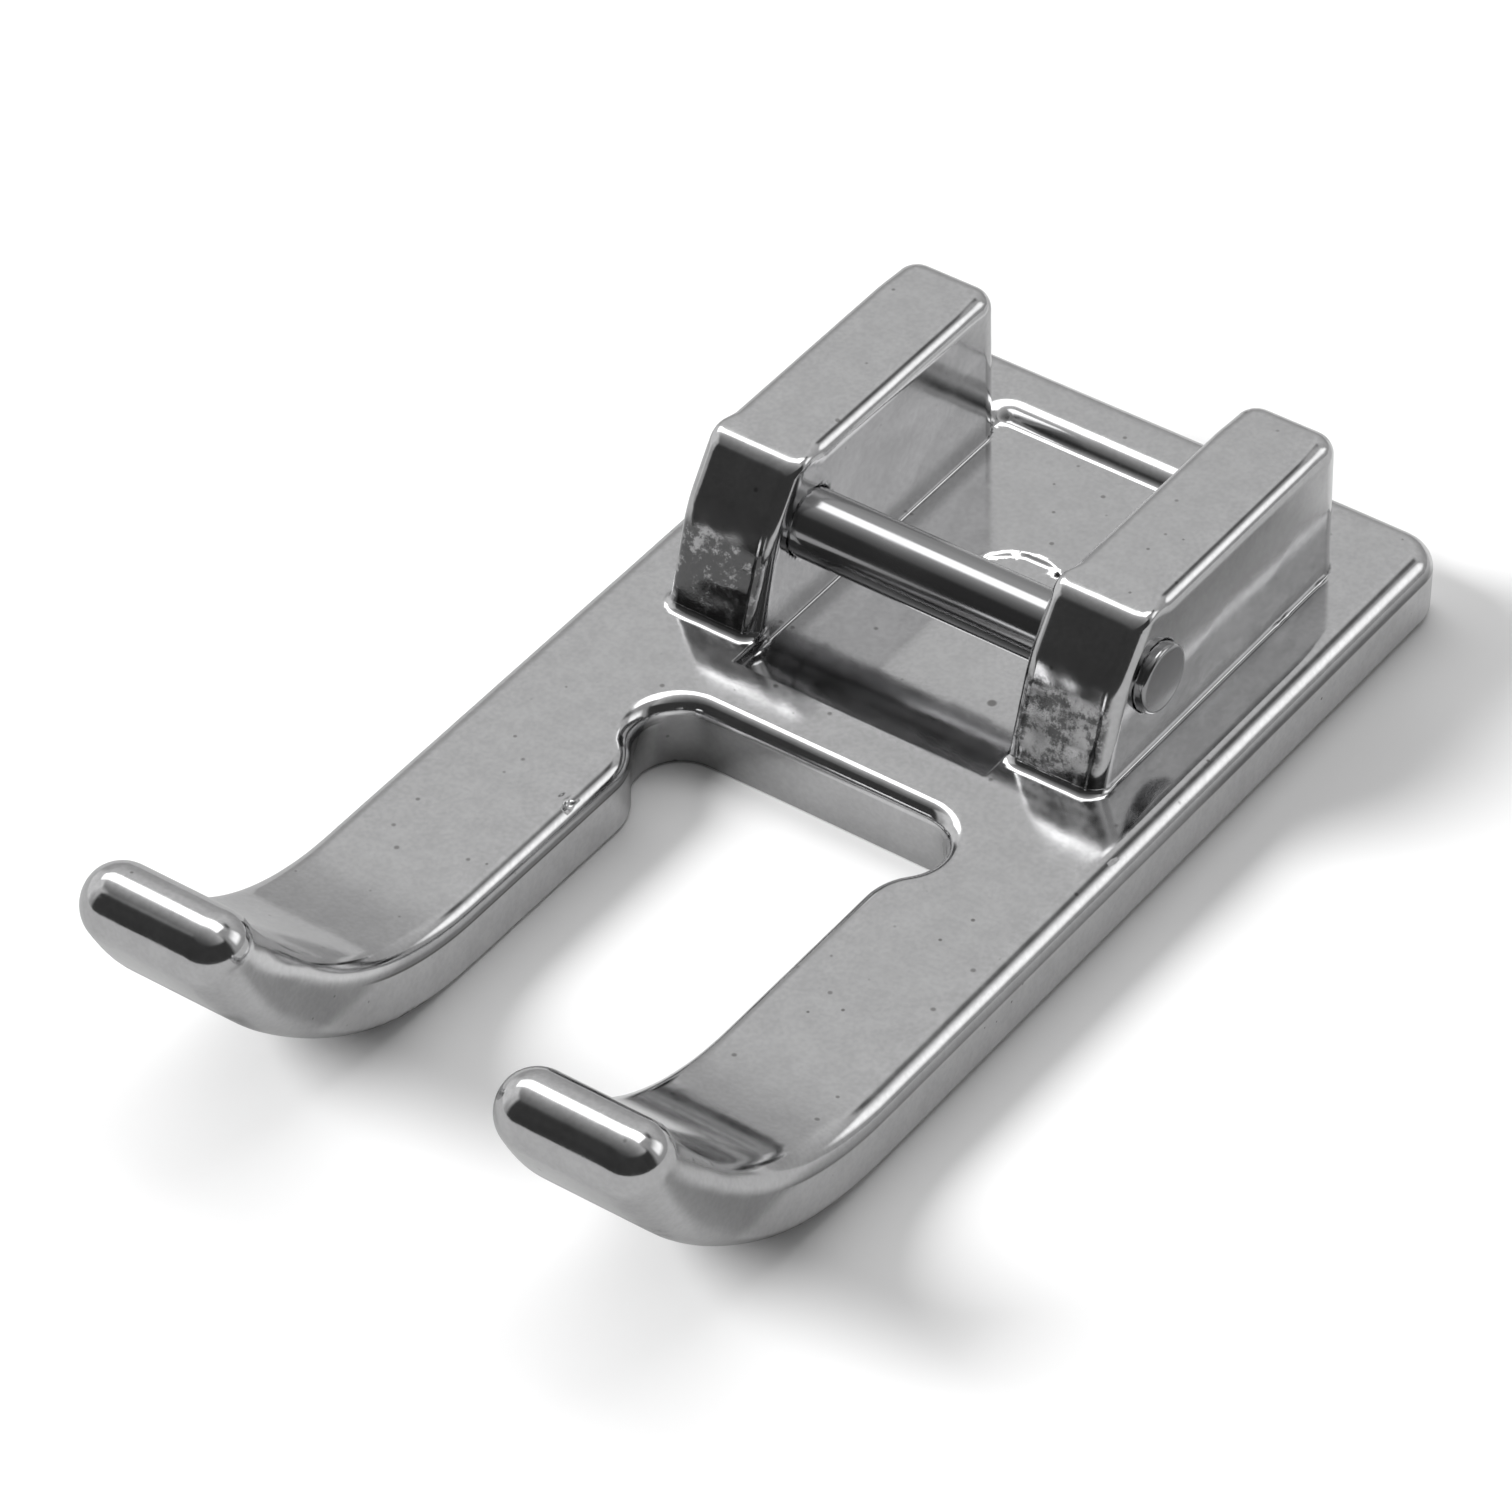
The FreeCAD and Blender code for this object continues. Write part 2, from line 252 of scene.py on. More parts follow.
def smooth_rise(low, high, value):
    """Rises smoothly from 0 at low to 1 at high."""
    t = np.clip((value - low) / (high - low), 0, 1)
    return t * t * (3 - 2 * t)


def mixed(first, second, part):
    """A value between two others."""
    return first + (second - first) * part


def places(size):
    """Where the casting's forms lie, worked out from its sizes and the frame's box."""
    p = SimpleNamespace()
    p.half_width = FOOT_HIGH.x
    p.back_y = FOOT_HIGH.y
    p.bend_y = p.back_y - size.flat_length
    p.bridge_y = p.back_y - size.bridge_to_back
    p.middle_radius = size.bend_radius - size.thickness / 2
    p.tip_along = p.middle_radius * size.bend_angle
    p.ear_back_y = p.back_y - size.ear_to_back
    p.ear_front_y = p.ear_back_y - size.ear_top_length
    p.ear_foot_y = p.ear_front_y - size.ear_rake
    p.ear_top_z = size.thickness + size.ear_height
    p.ear_inner_x = size.ear_gap / 2
    p.ear_outer_x = p.ear_inner_x + size.ear_thickness
    p.recess_floor_z = size.thickness - size.recess_depth
    p.recess_back_y = p.ear_back_y + size.recess_behind
    p.recess_front_y = p.ear_foot_y - size.recess_before
    p.pin_y = (PIN_LOW.y + PIN_HIGH.y) / 2
    p.pin_z = (PIN_LOW.z + PIN_HIGH.z) / 2
    p.pin_radius = (PIN_HIGH.z - PIN_LOW.z) / 2
    return p


def unrolled(size, at, y, z):
    """A point on the plate rolled out flat: how far ahead of the bend, and how high above its middle."""
    ahead, down = at.bend_y - y, size.bend_radius - z
    turn = np.arctan2(ahead, down)
    sine, cosine = math.sin(size.bend_angle), math.cos(size.bend_angle)
    tip_ahead, tip_down = at.middle_radius * sine, at.middle_radius * cosine
    past = (ahead - tip_ahead) * cosine - (down - tip_down) * sine
    over = (tip_ahead - ahead) * sine + (tip_down - down) * cosine
    along = np.where(turn > size.bend_angle, at.tip_along + past, at.middle_radius * turn)
    above = np.where(turn > size.bend_angle, over, at.middle_radius - np.hypot(ahead, down))
    flat = ahead < 0
    return np.where(flat, ahead, along), np.where(flat, z - size.thickness / 2, above)


def slot_wall(size, at, side, along):
    """Distance into the metal from the needle slot's wall, seen in plan."""
    y = at.bend_y - along
    half = size.slot_width / 2
    bay_x, bay_y = size.bay_width / 2 - size.bay_round, at.bridge_y - size.bay_round
    neck_x, reach = half + size.neck_round, size.bay_round + size.neck_round
    neck_y = bay_y - math.sqrt(reach ** 2 - (neck_x - bay_x) ** 2)
    ahead_of_joint = (side - bay_x) * (neck_y - bay_y) - (y - bay_y) * (neck_x - bay_x) > 0
    neck = size.neck_round - np.where(side < neck_x, np.hypot(side - neck_x, y - neck_y), 0)
    bay = np.hypot(side - bay_x, y - bay_y) - size.bay_round
    corner = np.where(ahead_of_joint, neck, bay)
    return np.where(y < neck_y, side - half, np.where(side < bay_x, y - at.bridge_y, corner))


def plate_outline(size, at, side, along):
    """Distance out of the plate and its toes seen in plan, and whether the slot's wall is the nearest."""
    outer = rounded_meet(side - at.half_width, -along - size.flat_length, size.back_corner)
    slot = -slot_wall(size, at, side, along)
    return np.maximum(outer, slot), slot > outer


def plate_distance(size, at, x, along, above):
    """The sole plate with its toes, and its rounded edges."""
    edge, in_slot = plate_outline(size, at, np.abs(x), along)
    upper = smooth_rise(-size.thickness / 4, size.thickness / 4, above)
    near_tip = smooth_rise(*(at.tip_along - TIP_CHANGE), along)
    risen = smooth_rise(*(at.tip_along - UNDERSIDE_CHANGE), along)
    faces = np.where(along > at.tip_along, np.hypot(along - at.tip_along, above), np.abs(above))
    faces = faces - size.thickness / 2
    rolled = np.clip(1 + edge / size.top_roll_reach, 0, 1) ** 2
    faces = faces + size.top_roll * upper * (1 - near_tip) * rolled
    walls = edge + np.abs(above - size.parting_height) * size.draft
    lower_round = np.where(in_slot, size.slot_bottom_round, size.bottom_round)
    upper_round = np.where(in_slot, size.slot_top_round, size.top_round)
    radius = mixed(mixed(lower_round, size.toe_under_round, risen), upper_round, upper)
    return rounded_meet(faces, walls, mixed(radius, size.tip_round, near_tip))


def rolled_step(out, depth, foot_round, top_round):
    """Height of a step up that is all curve: a hollow arc at its foot, then an arch at its top."""
    both = foot_round + top_round
    run = both * math.sin(math.acos(1 - depth / both))
    foot_run = run * foot_round / both
    out = out + foot_run
    foot = foot_round - np.sqrt(np.maximum(foot_round ** 2 - np.clip(out, 0, foot_round) ** 2, 0))
    top = top_round - np.sqrt(np.maximum(top_round ** 2 - np.clip(run - out, 0, top_round) ** 2, 0))
    return np.where(out < foot_run, foot, depth - top)


def recess_distance(size, at, x, y, z):
    """Distance out of the hollow between the ears, whose floor has the mark and climbs at its back."""
    behind_ears = smooth_rise(*(at.ear_back_y - STEP_CHANGE), y)
    spread = mixed(size.ear_thickness, size.recess_past_ears, behind_ears)
    out = rounded_meet(np.abs(x) - at.ear_inner_x - spread, y - at.recess_back_y, size.recess_corner)
    climb = rolled_step(out, size.recess_depth, size.step_foot_round, size.step_top_round)
    rim = np.hypot(x, y - at.pin_y - size.mark_behind_pin) - size.mark_diameter / 2
    sink = size.mark_depth - rolled_step(rim, size.mark_depth, size.mark_round, size.mark_round)
    hollow = at.recess_floor_z + climb - sink - z
    under_ears = smooth_rise(*(at.ear_foot_y + WIDER_CHANGE), y)
    sides = np.abs(x) - at.ear_inner_x - size.ear_thickness / 2 * under_ears
    near_top = np.clip(z - size.thickness + size.lip_round, 0, size.lip_round)
    lip = size.lip_round - np.sqrt(size.lip_round ** 2 - near_top ** 2)
    return np.maximum(hollow, np.maximum(sides, at.recess_front_y - y) - lip)


def ripple(height, first, second):
    """Uneven waves across two directions, as a cast surface has."""
    dice = np.random.default_rng(RIPPLE_SEED)
    total = 0.0
    for _ in range(RIPPLES):
        turn, pitch = dice.uniform(0, math.pi), dice.uniform(*RIPPLE_PITCHES) * MM
        across = first * math.cos(turn) + second * math.sin(turn)
        total = total + np.sin(across * FULL_TURN / pitch + dice.uniform(*ANY_PHASE))
    return total * height / 2


def ear_front(size, at, x, y, z):
    """Distance out of the ears' raked fronts, which lean back more above a knee."""
    rise = z - size.thickness
    lean = size.ear_foot_lean
    cast = ripple(size.ear_ripple, x, z) * smooth_rise(*CAST_CHANGE, rise / size.ear_height)
    knee_y = at.ear_foot_y + size.ear_knee * math.tan(lean)
    upper_lean = math.atan2(at.ear_front_y - knee_y, size.ear_height - size.ear_knee)
    below = (at.ear_foot_y + rise * math.tan(lean) + cast - y) * math.cos(lean)
    over = (knee_y + (rise - size.ear_knee) * math.tan(upper_lean) + cast - y) * math.cos(upper_lean)
    return soft_meet(below, over, size.ear_knee_ease)


def ear_distance(size, at, x, y, z):
    """The two ears, whose front corners open out towards the foot and whose top front edges are worn."""
    middle_x = (at.ear_inner_x + at.ear_outer_x) / 2
    sides = np.abs(np.abs(x) - middle_x) - size.ear_thickness / 2
    opened = np.clip(1 - (z - size.thickness) / size.ear_height, 0, 1)
    front_corner = mixed(size.ear_corner_top, size.ear_corner_foot, opened)
    block = rounded_meet(sides, ear_front(size, at, x, y, z), front_corner)
    block = rounded_meet(block, y - at.ear_back_y, size.ear_back_corner)
    worn = (z - at.ear_top_z) * math.cos(size.ear_wear_angle)
    worn = worn + (at.ear_front_y + size.ear_wear - y) * math.sin(size.ear_wear_angle)
    top = soft_meet(z - at.ear_top_z, worn, size.ear_wear_ease)
    at_front = smooth_rise(*(at.ear_front_y + FRONT_EDGE_CHANGE), y)
    at_back = smooth_rise(*(at.ear_back_y - BACK_EDGE_CHANGE), y)
    top_round = mixed(size.ear_top_round, size.ear_top_front_round, at_front)
    block = rounded_meet(block, top, mixed(top_round, size.ear_top_back_round, at_back))
    return np.maximum(block, size.thickness / 2 - z)


def waves(height, x, y, z):
    """The slight waves that hand polishing leaves."""
    dice = np.random.default_rng(WAVE_SEED)
    total = 0.0
    for _ in range(WAVES):
        heading = dice.normal(size=3)
        heading *= FULL_TURN / (dice.uniform(*WAVE_PITCHES) * MM * np.linalg.norm(heading))
        phase = dice.uniform(*ANY_PHASE)
        total = total + np.sin(x * heading[0] + y * heading[1] + z * heading[2] + phase)
    return total * height


def casting_distance(size, x, y, z):
    """The whole casting."""
    at = places(size)
    along, above = unrolled(size, at, y, z)
    metal = plate_distance(size, at, x, along, above)
    metal = np.maximum(metal, -recess_distance(size, at, x, y, z))
    before_ears = smooth_rise(*(at.ear_foot_y + FOOT_CHANGE), y)
    foot_round = mixed(size.ear_foot_round, size.ear_front_foot_round, before_ears)
    metal = rounded_join(metal, ear_distance(size, at, x, y, z), foot_round)
    bore = at.pin_radius + size.bore_clearance - np.hypot(y - at.pin_y, z - at.pin_z)
    metal = rounded_meet(metal, bore, size.bore_mouth)
    for place, reach in KNOCKS:
        away = np.sqrt(sum((axis - spot * MM) ** 2 for axis, spot in zip((x, y, z), place)))
        metal = np.maximum(metal, reach * MM - away)
    return metal + size.polished_off + np.abs(waves(size.wave_height, x, y, z))


# Wrapping a mesh round a distance.

# How far apart the grid's lines lie.
EDGE_PITCH, FLOOR_PITCH = 0.08 * MM, 0.07 * MM
WALL_PITCH, FRONT_PITCH, TOE_PITCH, EAR_PITCH = 0.09 * MM, 0.11 * MM, 0.13 * MM, 0.14 * MM
PLAN_PITCH, UPRIGHT_PITCH = 0.22 * MM, 0.2 * MM
# How far the close lines reach past each form.
EAR_REACH, RECESS_REACH, BAY_REACH, PIN_REACH, NECK_REACH = 0.3 * MM, 0.45 * MM, 0.5 * MM, 1.1 * MM, 3 * MM
BELOW_RECESS, ABOVE_PLATE, ABOVE_ROUND = 0.2 * MM, 0.1 * MM, 0.05 * MM
GRID_MARGIN = 0.25 * MM
SPACING_SAMPLES = 6000
SLAB_PLANES = 12
SLOPE_STEP = 0.002 * MM
SETTLING_STEPS = 4
LEAST_SQUARED_SLOPE = 0.2


def grid_lines(low, high, pitch, bands):
    """Places from low to high about a pitch apart, and closer inside each band of (from, to, pitch)."""
    fine = np.linspace(low, high, SPACING_SAMPLES)
    step = np.full(fine.shape, pitch)
    for start, end, band_pitch in bands:
        inside = (fine > start) & (fine < end)
        step[inside] = np.minimum(step[inside], band_pitch)
    count = np.concatenate([[0], np.cumsum(np.diff(fine) / ((step[1:] + step[:-1]) / 2))])
    whole = math.ceil(count[-1])
    return np.interp(np.linspace(0, count[-1], whole + 1), count, fine)


def casting_grid(size):
    """Grid lines for the casting, closest where edges are rounded and steps cross."""
    at = places(size)
    edge = size.top_round
    x_bands = []
    for low, high, pitch in (
        (at.half_width - edge, at.half_width, EDGE_PITCH),
        (at.ear_outer_x - EAR_REACH, at.ear_outer_x + EAR_REACH, EDGE_PITCH),
        (at.ear_inner_x - EAR_REACH, size.bay_width / 2 + BAY_REACH, WALL_PITCH),
    ):
        x_bands += [(low, high, pitch), (-high, -low, pitch)]
    y_bands = [
        (at.back_y - edge, at.back_y, EDGE_PITCH),
        (at.recess_back_y - RECESS_REACH, at.recess_back_y + RECESS_REACH, EDGE_PITCH),
        (at.ear_back_y - EAR_REACH, at.ear_back_y + EAR_REACH, EDGE_PITCH),
        (at.recess_front_y - RECESS_REACH, at.recess_front_y + RECESS_REACH, EDGE_PITCH),
        (at.ear_foot_y - EAR_REACH, at.pin_y + PIN_REACH, FRONT_PITCH),
        (at.bridge_y - NECK_REACH, at.bridge_y + edge, FRONT_PITCH),
        (at.bridge_y, at.bridge_y + edge, EDGE_PITCH),
        (FOOT_LOW.y - GRID_MARGIN, at.bend_y, TOE_PITCH),
    ]
    z_bands = [
        (0, size.bottom_round + ABOVE_ROUND, FLOOR_PITCH),
        (at.recess_floor_z - BELOW_RECESS, size.thickness + ABOVE_PLATE, FLOOR_PITCH),
        (at.ear_top_z - EAR_REACH, at.ear_top_z, FLOOR_PITCH),
        (size.thickness, FOOT_HIGH.z, EAR_PITCH),
    ]
    return [grid_lines(low - GRID_MARGIN, high + GRID_MARGIN, pitch, bands) for low, high, pitch, bands in (
        (-at.half_width, at.half_width, PLAN_PITCH, x_bands), (FOOT_LOW.y, at.back_y, PLAN_PITCH, y_bands),
        (0, FOOT_HIGH.z, UPRIGHT_PITCH, z_bands))]


def field_on_grid(distance, lines):
    """The distance at every crossing of the grid's lines, worked out a slab at a time."""
    xs, ys, zs = lines
    slabs = np.array_split(xs, max(1, len(xs) // SLAB_PLANES))
    return np.concatenate([
        distance(slab[:, None, None], ys[None, :, None], zs[None, None, :]) for slab in slabs])


def wrapped_mesh(distance, lines):
    """One vertex in each grid cell that the surface crosses, and a quad round each edge that it cuts."""
    values = field_on_grid(distance, lines)
    cells = tuple(n - 1 for n in values.shape)
    total, hits, quads = np.zeros((math.prod(cells), 3)), np.zeros(math.prod(cells)), []
    for axis in range(3):
        layers = np.moveaxis(values, axis, 0)
        near, far = layers[:-1], layers[1:]
        cut = np.argwhere((near < 0) != (far < 0))
        a, b = near[tuple(cut.T)], far[tuple(cut.T)]
        index = np.insert(cut[:, 1:], axis, cut[:, 0], axis=1)
        point = np.stack([lines[k][index[:, k]] for k in range(3)], 1)
        ends = lines[axis][index[:, axis]], lines[axis][index[:, axis] + 1]
        point[:, axis] = ends[0] + (ends[1] - ends[0]) * a / (a - b)
        ring = []
        for back in ((0, 1, 1), (0, 0, 1), (0, 0, 0), (0, 1, 0)):
            ring.append(np.ravel_multi_index((index - np.roll(back, axis)).T, cells))
            np.add.at(total, ring[-1], point)
            np.add.at(hits, ring[-1], 1)
        ring = np.stack(ring, 1)
        quads.append(np.where((a < 0)[:, None], ring, ring[:, ::-1]))
    used = hits > 0
    order = np.cumsum(used) - 1
    return total[used] / hits[used, None], order[np.concatenate(quads)]


def slope_of(distance, points):
    """How the distance changes along X, Y and Z at each point."""
    steps = np.eye(3) * SLOPE_STEP
    changes = [distance(*(points + step).T) - distance(*(points - step).T) for step in steps]
    return np.stack(changes, 1) / (2 * SLOPE_STEP)


def settled(distance, points):
    """The points moved straight onto the surface, with the directions that it faces there."""
    for _ in range(SETTLING_STEPS):
        slope = slope_of(distance, points)
        lean = np.maximum((slope ** 2).sum(1), LEAST_SQUARED_SLOPE)
        points = points - slope * (distance(*points.T) / lean)[:, None]
    slope = slope_of(distance, points)
    return points, slope / np.linalg.norm(slope, axis=1)[:, None]


# Materials.

# Scales of the patterns, as features to a metre.
PIT_SCALE, CLOUD_SCALE, GRAIN_SCALE, PATCH_SCALE, UNEVEN_SCALE = 1700.0, 1400.0, 7000.0, 2100.0, 900.0
TURNING_SCALE, PIN_CLOUD_SCALE = 9000.0, 600.0
# Turning marks run round the pin: fine along its length and drawn out across it.
TURNING_STRETCH = 1.0, 0.05, 0.05
RELIEF_DEPTH = 0.01 * MM
# Most values of a noise lie in this range.
NOISE_RANGE = 0.3, 0.7
# Numbers of a mixing node's sockets for colours.
FIRST_COLOUR, SECOND_COLOUR, MIXED_COLOUR = 6, 7, 2


class Nodes:
    """Adds nodes to a tree and wires them."""

    def __init__(self, tree):
        self.tree = tree

    def add(self, kind, values=None, **settings):
        """A node with its settings, and a value or a wire for each named or numbered input."""
        node = self.tree.nodes.new(kind)
        for key, value in settings.items():
            setattr(node, key, value)
        for key, value in (values or {}).items():
            if isinstance(value, bpy.types.NodeSocket):
                self.tree.links.new(value, node.inputs[key])
            else:
                node.inputs[key].default_value = value
        return node

    def math(self, operation, first, second=0.0, third=0.0):
        """A sum of one to three numbers."""
        return self.add("ShaderNodeMath", {0: first, 1: second, 2: third}, operation=operation).outputs[0]

    def product(self, first, *others):
        """Numbers multiplied together."""
        for other in others:
            first = self.math("MULTIPLY", first, other)
        return first

    def vector(self, operation, first, second=(0, 0, 0), output="Vector"):
        """A sum of vectors."""
        return self.add("ShaderNodeVectorMath", {0: first, 1: second}, operation=operation).outputs[output]

    def rise(self, value, low, high, to_low=0.0, to_high=1.0):
        """A number brought smoothly from one range to another."""
        values = {"Value": value, "From Min": low, "From Max": high, "To Min": to_low, "To Max": to_high}
        return self.add("ShaderNodeMapRange", values, interpolation_type="SMOOTHSTEP").outputs["Result"]

    def blend(self, part, first, second):
        """A number between two others."""
        values = {"Factor": part, "A": first, "B": second}
        return self.add("ShaderNodeMix", values, data_type="FLOAT").outputs["Result"]

    def noise(self, where, scale, detail=2.0, roughness=0.5):
        """A cloudy pattern."""
        return self.add("ShaderNodeTexNoise", {
            "Vector": where, "Scale": scale, "Detail": detail, "Roughness": roughness}).outputs["Fac"]

    def object_place(self):
        """Where a point of the piece is, as a vector and as its three parts."""
        where = self.add("ShaderNodeTexCoord").outputs["Object"]
        return where, self.add("ShaderNodeSeparateXYZ", {0: where}).outputs

    def metal(self, colour, roughness, relief, height):
        """The output of a material that is bare metal with fine relief."""
        bump = self.add("ShaderNodeBump", {"Height": height, "Strength": relief, "Distance": RELIEF_DEPTH})
        shader = self.add("ShaderNodeBsdfPrincipled", {
            "Base Color": colour, "Metallic": 1.0, "Roughness": roughness, "Normal": bump.outputs[0]})
        self.add("ShaderNodeOutputMaterial", {"Surface": shader.outputs[0]})


def emptied(owner):
    """The node tree of a material or of a world, emptied."""
    owner.use_nodes = True
    owner.node_tree.nodes.clear()
    return Nodes(owner.node_tree)


def pitting(nodes, where):
    """One in a pit and nought on sound plating: tiny pits anywhere, the larger ones in their places."""
    cells = nodes.add("ShaderNodeTexVoronoi", {"Vector": where, "Scale": PIT_SCALE}).outputs
    chance = nodes.add("ShaderNodeSeparateColor", {0: cells["Color"]}).outputs[0]
    smallest, largest, faintness = 0.002, 0.16, 0.8
    reach = nodes.rise(chance, 0.2, 1.0, smallest, largest)
    pits = nodes.rise(nodes.math("DIVIDE", cells["Distance"], reach), 1.0, 0.4, 0.0, faintness)
    for place, radius in PITS:
        gap = nodes.vector("DISTANCE", where, [spot * MM for spot in place], output="Value")
        pits = nodes.math("MAXIMUM", pits, nodes.rise(gap, radius * MM, radius * 0.5 * MM))
    return pits


def plate_walls(nodes, size, place, facing):
    """One on the plate's side walls, and nought on its faces and on what stands above it."""
    upright = nodes.rise(nodes.math("ABSOLUTE", facing["X"]), 0.8, 0.97)
    return nodes.product(upright, nodes.rise(place["Z"], size.thickness * 1.3, size.thickness))


def parting_line(nodes, side_wall, across):
    """How strongly the parting line shows, crispest in the slot, and one on the side walls below it, where
    the painted brighter reflection goes.
    """
    above = nodes.add("ShaderNodeAttribute", attribute_name="above_parting").outputs["Fac"]
    outer_half_width, inner_half_width = 0.045, 0.02
    line = nodes.rise(nodes.math("ABSOLUTE", above), outer_half_width, inner_half_width)
    outside, in_slot = (5.0 * MM, 0.15), (4.0 * MM, 0.8)
    shown = nodes.rise(nodes.math("ABSOLUTE", across), outside[0], in_slot[0], outside[1], in_slot[1])
    lower = nodes.product(side_wall, nodes.rise(above, 0.03, -0.03))
    return nodes.product(line, shown, side_wall), lower


def cast_front(nodes, size, place, facing):
    """One on the lower part of the ears' fronts, which polishing never reached."""
    polished_z, cast_z = (size.thickness + size.ear_height * part for part in (0.62, 0.5))
    below = nodes.rise(place["Z"], polished_z, cast_z)
    above = nodes.rise(place["Z"], size.thickness + 0.05 * MM, size.thickness + 0.2 * MM)
    return nodes.product(below, above, nodes.rise(facing["Y"], -0.6, -0.85))


def plating_material(finish, size):
    """Bright plating: clouded gloss, grain, pits, smut, the mould's parting line, and painted reflection on
    the side walls.
    """
    material = bpy.data.materials.new("bright_plating")
    nodes = emptied(material)
    where, place = nodes.object_place()
    normal = nodes.add("ShaderNodeNewGeometry").outputs["Normal"]
    facing = nodes.add("ShaderNodeSeparateXYZ", {0: normal}).outputs
    side_wall = plate_walls(nodes, size, place, facing)
    line, lower = parting_line(nodes, side_wall, place["X"])
    rough_front = cast_front(nodes, size, place, facing)
    cloud, grain = nodes.noise(where, CLOUD_SCALE, 4.0), nodes.noise(where, GRAIN_SCALE, 3.0)
    patch = nodes.noise(where, PATCH_SCALE, 5.0, 0.75)
    # The left ear's front is dirtier than the right one's.
    dirtier = nodes.rise(place["X"], 1.0 * MM, -1.0 * MM, 0.0, 0.09)
    worn = nodes.rise(nodes.math("SUBTRACT", patch, dirtier), 0.42, 0.56, 0.25, 0.85)
    # Painted reflection: the side walls are darker above the parting line and brighter below it, standing
    # in for how they mirror the floor.
    upper = nodes.blend(side_wall, 1.0, finish.painted_reflection_above)
    shade = nodes.product(
        nodes.rise(cloud, *NOISE_RANGE, 0.96, 1.02), nodes.rise(grain, *NOISE_RANGE, 0.95, 1.03),
        nodes.blend(lower, upper, finish.painted_reflection_below), nodes.blend(rough_front, 1.0, worn))
    bright = nodes.add("ShaderNodeVectorMath", {0: finish.plating, "Scale": shade}, operation="SCALE")
    marks = nodes.math("MAXIMUM", nodes.product(pitting(nodes, where), 0.75), line)
    tint = nodes.add("ShaderNodeMix", {
        "Factor": marks, FIRST_COLOUR: bright.outputs[0], SECOND_COLOUR: (*finish.smut, 1.0),
    }, data_type="RGBA").outputs[MIXED_COLOUR]
    uneven = nodes.product(nodes.noise(where, UNEVEN_SCALE), 0.3)
    height = nodes.math("MULTIPLY_ADD", grain, 0.3, uneven)
    height = nodes.math("MULTIPLY_ADD", nodes.product(rough_front, patch), 2.5, height)
    roughness = nodes.rise(cloud, 0.3, 0.75, finish.gloss * 0.85, finish.gloss * 1.2)
    nodes.metal(tint, roughness, finish.relief, height)
    return material


def pin_material(finish):
    """Bright plating over a turned pin."""
    material = bpy.data.materials.new("turned_plating")
    nodes = emptied(material)
    where, _ = nodes.object_place()
    turning = nodes.noise(nodes.vector("MULTIPLY", where, TURNING_STRETCH), TURNING_SCALE)
    cloud = nodes.noise(where, PIN_CLOUD_SCALE)
    roughness = nodes.rise(cloud, *NOISE_RANGE, finish.pin_gloss * 0.8, finish.pin_gloss * 1.2)
    nodes.metal((*finish.pin_plating, 1.0), roughness, finish.pin_relief, turning)
    return material


# Pieces.


def put(name, data):
    """A new object in the scene."""
    thing = bpy.data.objects.new(name, data)
    bpy.context.scene.collection.objects.link(thing)
    return thing


def add_piece(name, mesh, material, node):
    """Puts a mesh in the scene as the piece that stands for a CAD node."""
    piece = put(name, mesh)
    mesh.materials.clear()
    mesh.materials.append(material)
    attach(piece, "root")
    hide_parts(node)


class FOOT_OT_casting(bpy.types.Operator):
    """Builds the plated casting: the sole plate, its two toes and its two ears"""

    bl_idname = "presser_foot.casting"
    bl_label = "Build the casting"

    def execute(self, context):
        size = context.scene.foot_casting
        distance = partial(casting_distance, size)
        points, quads = wrapped_mesh(distance, casting_grid(size))
        points, facing = settled(distance, points)
        mesh = bpy.data.meshes.new("foot_casting")
        mesh.from_pydata(points, [], quads)
        mesh.shade_smooth()
        mesh.normals_split_custom_set_from_vertices(facing)
        # How far each vertex lies above the parting line, in millimetres, for the material to read.
        above = unrolled(size, places(size), points[:, 1], points[:, 2])[1] - size.parting_height
        kept = mesh.attributes.new("above_parting", "FLOAT", "POINT")
        kept.data.foreach_set("value", np.asarray(above / MM, np.float32))
        material = plating_material(context.scene.foot_finish, size)
        add_piece("foot_casting", mesh, material, "foot_body")
        return {"FINISHED"}


PIN_STATIONS = 81


